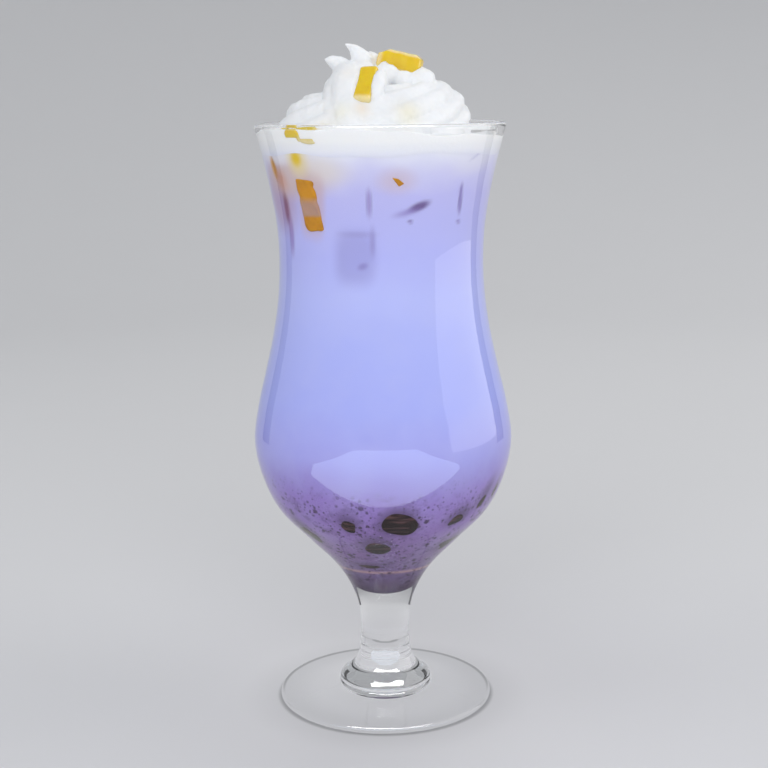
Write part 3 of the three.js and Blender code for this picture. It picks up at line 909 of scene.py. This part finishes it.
class BUBBLE_OT_cream(bpy.types.Operator):
    """Pipe the whipped cream"""

    bl_idname = "bubble.cream"
    bl_label = "Whipped cream"

    def execute(self, context):
        look = context.scene.bubble_cream
        outward = lambda line: np.stack([line[:, 0], line[:, 1], 0 * line[:, 2]], axis=1) + 1e-3
        rightward = lambda line: np.tile([1.0, 0.0, 0.0], (len(line), 1))
        core = turned(np.array([(22, 184.0), (18, 194), (9, 201), (3, 203.5)]), 60)
        middle, _, axes = strip_frame(*JELLY_STRIPS["jelly_strip_front"])
        beads = []
        lifts = ((-5.5, 0.2), (-2, 0.9), (2, 1.0), (6, 0.2))
        for side, size in ((-3.8, 2.4), (4.0, 2.3)):
            line = [middle + np.array([l, side, lift]) @ axes for l, lift in lifts]
            swell = lambda s: size * (0.55 + 0.45 * np.sin(np.pi * s))
            beads.append(rope(line, swell, outward, rings=60, sides=40))
        shrink = lambda s: 13.9 - 4.2 * s**3
        parts = [
            *beads,
            cream_floor(),
            skin(core),
            rope(SWIRL_PATH, shrink, outward, look.flutes, 0.13, 4.5, 1, 420, 300, 0.05),
            rope(TONGUE_PATH, lambda s: 9.8 + 0.8 * s, rightward, 7, 0.07, 1.2, 1, 200, 200, 0.12),
        ]
        for centre, size in CREAM_LUMPS:
            parts.append(blob(np.array(centre), np.eye(3), np.array([size, size, size]), 60, 0.05))
        for path, root, taper in TIPS:
            thin = lambda s: root * (1 - s**taper) + 0.3
            parts.append(rope(path, thin, rightward, 5, 0.12, 0.6, 0.75, 60, 60))
        loose = add("cream_parts", mesh_of("cream_parts", *parts))
        merge = loose.modifiers.new("merge", "REMESH")
        merge.mode, merge.voxel_size = "VOXEL", look.detail
        soften = loose.modifiers.new("soften", "SMOOTH")
        soften.factor, soften.iterations = 0.5, 5
        merged = bpy.data.meshes.new_from_object(loose.evaluated_get(context.evaluated_depsgraph_get()))
        bpy.data.objects.remove(loose)
        merged.name = "piped_cream"
        merged.polygons.foreach_set("use_smooth", np.ones(len(merged.polygons), bool))
        points = places(merged)
        normals = np.empty(len(points) * 3)
        merged.vertices.foreach_get("normal", normals)
        lift = 0.16 * ripples(points, 6.0, 7) + 0.06 * ripples(points, 1.8, 8)
        free = np.clip((points[:, 2] - 191) / 2, 0, 1)
        points = settle(points + (lift * free)[:, None] * normals.reshape(-1, 3))
        merged.vertices.foreach_set("co", (points * MM).ravel())
        merged.update()
        put_tint(merged, "cream_tint", *cream_tints(points))
        show(merged, cream_finish(look), "whipped_cream", "whipped_cream")
        return {"FINISHED"}


def panel(name, centre, aim, width, height, radiance, colour=(1, 1, 1), lights=True, mirrors=False):
    """A soft light panel of a given brightness, facing the place that it aims at. It lights things,
    shows in glossy ones, or both."""
    lamp = bpy.data.lights.new(name, "AREA")
    lamp.shape, lamp.size, lamp.size_y = "RECTANGLE", width, height
    lamp.energy = radiance * math.pi * width * height
    lamp.color = colour
    placed = add(name, lamp)
    back = unit(np.array(centre, float) - np.array(aim, float))
    side = unit(np.cross([0, 0, 1.0], back))
    put_frame(placed, side, np.cross(back, side), back, centre)
    placed.visible_camera = placed.visible_transmission = False
    placed.visible_diffuse, placed.visible_glossy = lights, mirrors
    return placed


def show_card(name, corners, paint, through):
    """A flat card beside the glass that only shows mirrored in it, and through it where that is asked."""
    card = add(name, mesh_of(name, (np.array(corners, float), [list(range(len(corners)))])))
    card.data.materials.append(paint.material)
    card.visible_camera = card.visible_diffuse = card.visible_shadow = False
    card.visible_transmission = through


def put_frame(placed, right, up, back, centre):
    """Sets an object's axes and place."""
    columns = np.stack([right, up, back, centre], axis=1)
    placed.matrix_world = Matrix(np.vstack([columns, [0, 0, 0, 1]]).tolist())


# The table in millimetres: height, dip under the foot's middle, and the radii of dip, flat and cove.
TABLE_HEIGHT, TABLE_DIP, DIP_RADIUS, TABLE_RADIUS, COVE_RADIUS = 0.05, -0.3, 12, 850, 1300

# Dark cards that draw the glass's edges: distance, foot and top in millimetres, half width in degrees
# round the glass, and where each stands.
FLAG_DISTANCE, FLAG_FOOT, FLAG_TOP, FLAG_HALF = 550, 5, 420, 7
FLAGS = {"right_flag": 33, "left_flag": 147}

# The camera: focal length and picture width in pixels, pitch and roll in degrees, place in metres.
FOCAL_LENGTH, PICTURE_WIDTH, SENSOR_WIDTH = 1483.8, 768, 36
CAMERA_PITCH, CAMERA_ROLL, CAMERA_PLACE = 11.25, 0.563, (0.00046, -0.4782, 0.2023)

# The white card that leans in front of the glass and glows, so that it shows as a bright reflection in its
# belly: corners in millimetres.
GLINT_CARD = [
    (-180, -92, 1), (215, -92, 1), (215, -104, 20), (72, -150, 101), (-62, -150, 101), (-180, -114, 37),
]


class BUBBLE_OT_stage(bpy.types.Operator):
    """Set the table, the soft lights and the camera"""

    bl_idname = "bubble.stage"
    bl_label = "Table, lights and camera"

    def execute(self, context):
        scene = context.scene
        look = scene.bubble_stage
        turn = np.radians(np.linspace(0, 80, 40))
        flat = [(DIP_RADIUS, TABLE_DIP)]
        flat += [(r, TABLE_HEIGHT) for r in (DIP_RADIUS + 1, 60, 300)] + [(TABLE_RADIUS, 0)]
        cove = COVE_RADIUS * np.stack([np.sin(turn), 1 - np.cos(turn)], axis=1) + [TABLE_RADIUS, 0]
        rings = turned(np.concatenate([flat, cove[1:]]), 180)
        m, n, _ = rings.shape
        points = np.concatenate([rings.reshape(-1, 3), [(0, 0, TABLE_DIP)]])
        quads, j, k = between(m, n)
        faces = quads[:, ::-1].tolist() + np.stack([j, k, np.full(n, m * n)], axis=-1).tolist()
        table = add("table_top", mesh_of("table_top", (points, faces)))
        table.data.materials.append(table_finish(look))

        scene.world = bpy.data.worlds.new("soft_sky")
        scene.world.use_nodes = True
        sky = scene.world.node_tree.nodes["Background"]
        sky.inputs[0].default_value, sky.inputs[1].default_value = (0.93, 0.96, 1.0, 1), look.sky

        key, fill = look.key, look.fill
        warm = (1.0, 0.98, 0.96)
        panel("key_panel", (1.3, 0.05, 0.85), (0, 0, 0.12), 1.3, 1.1, 1.5 * key, warm)
        panel("key_mirror", (0.62, 0.02, 0.36), (0, 0, 0.12), 0.9, 0.72, key, warm, False, True)
        panel("front_panel", (-0.1, -1.25, 0.8), (0, -0.25, 0), 1.5, 1.1, fill, (0.97, 0.98, 1.0))
        panel("left_panel", (-1.0, -0.2, 1.1), (0, 0, 0.1), 1.1, 0.9, 0.42 * fill)
        panel("back_panel", (0.3, 1.0, 1.3), (0, 0, 0.1), 1.2, 0.9, 0.6 * fill)
        # A bright light that shows in the glass alone, on its collar and the rim of its foot
        rim = panel("rim_light", (0.05, -0.45, 0.95), (0, 0, 0.1), 1.3, 0.42, 22, (1, 1, 1), False, True)
        only_glass = bpy.data.collections.new("only_glass")
        only_glass.objects.link(bpy.data.objects["tulip_glass"])
        rim.light_linking.receiver_collection = only_glass
        for name, middle in FLAGS.items():
            turns = np.radians([middle - FLAG_HALF, middle + FLAG_HALF])
            near, far = FLAG_DISTANCE * np.stack([np.cos(turns), np.sin(turns)], axis=1)
            corners = [(*near, FLAG_FOOT), (*far, FLAG_FOOT), (*far, FLAG_TOP), (*near, FLAG_TOP)]
            dark = Paint(name, {"Base Color": (0.01, 0.01, 0.01, 1), "Roughness": 1.0})
            show_card(name, corners, dark, True)
        glow = Paint("white_card", {
            "Base Color": (0, 0, 0, 1), "Roughness": 1.0, "Specular IOR Level": 0.0,
            "Emission Color": (0.72, 0.84, 1.0, 1), "Emission Strength": look.glint,
        })
        show_card("white_card", GLINT_CARD, glow, False)

        scene.view_settings.view_transform = "Standard"
        camera = bpy.data.cameras.new("camera")
        camera.sensor_width, camera.lens = SENSOR_WIDTH, SENSOR_WIDTH * FOCAL_LENGTH / PICTURE_WIDTH
        camera.clip_start, camera.clip_end = 0.01, 20
        placed = add("camera", camera)
        pitch, roll = math.radians(CAMERA_PITCH), math.radians(CAMERA_ROLL)
        right, up = np.array([1.0, 0, 0]), np.array([0, math.sin(pitch), math.cos(pitch)])
        c, s = math.cos(roll), math.sin(roll)
        back = np.array([0, -math.cos(pitch), math.sin(pitch)])
        put_frame(placed, c * right - s * up, c * up + s * right, back, CAMERA_PLACE)
        scene.camera = placed
        return {"FINISHED"}


class BUBBLE_PT_panel(bpy.types.Panel):
    """Steps that dress the drink"""

    bl_label = "Bubble Tea"
    bl_idname = "BUBBLE_PT_panel"
    bl_space_type = "VIEW_3D"
    bl_region_type = "UI"
    bl_category = "Bubble Tea"

    def draw(self, context):
        for step in STEPS:
            self.layout.operator(f"bubble.{step}")
        for group in GROUPS:
            held = getattr(context.scene, group)
            for key in held.__annotations__:
                self.layout.prop(held, key)


GROUPS = {
    "bubble_drink": BUBBLE_PG_drink,
    "bubble_cream": BUBBLE_PG_cream,
    "bubble_jelly": BUBBLE_PG_jelly,
    "bubble_stage": BUBBLE_PG_stage,
}
STEPS = ["glass", "drink", "pearls", "sunk_jelly", "jelly", "cream", "stage"]
CLASSES = [
    *GROUPS.values(), BUBBLE_OT_glass, BUBBLE_OT_drink, BUBBLE_OT_pearls, BUBBLE_OT_sunk_jelly,
    BUBBLE_OT_jelly, BUBBLE_OT_cream, BUBBLE_OT_stage, BUBBLE_PT_panel,
]


def register():
    for made in CLASSES:
        bpy.utils.register_class(made)
    for name, group in GROUPS.items():
        setattr(bpy.types.Scene, name, PointerProperty(type=group))


def unregister():
    for name in GROUPS:
        delattr(bpy.types.Scene, name)
    for made in reversed(CLASSES):
        bpy.utils.unregister_class(made)


def main():
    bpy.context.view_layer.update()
    register()
    for step in STEPS:
        getattr(bpy.ops.bubble, step)()


if __name__ == "__main__":
    main()
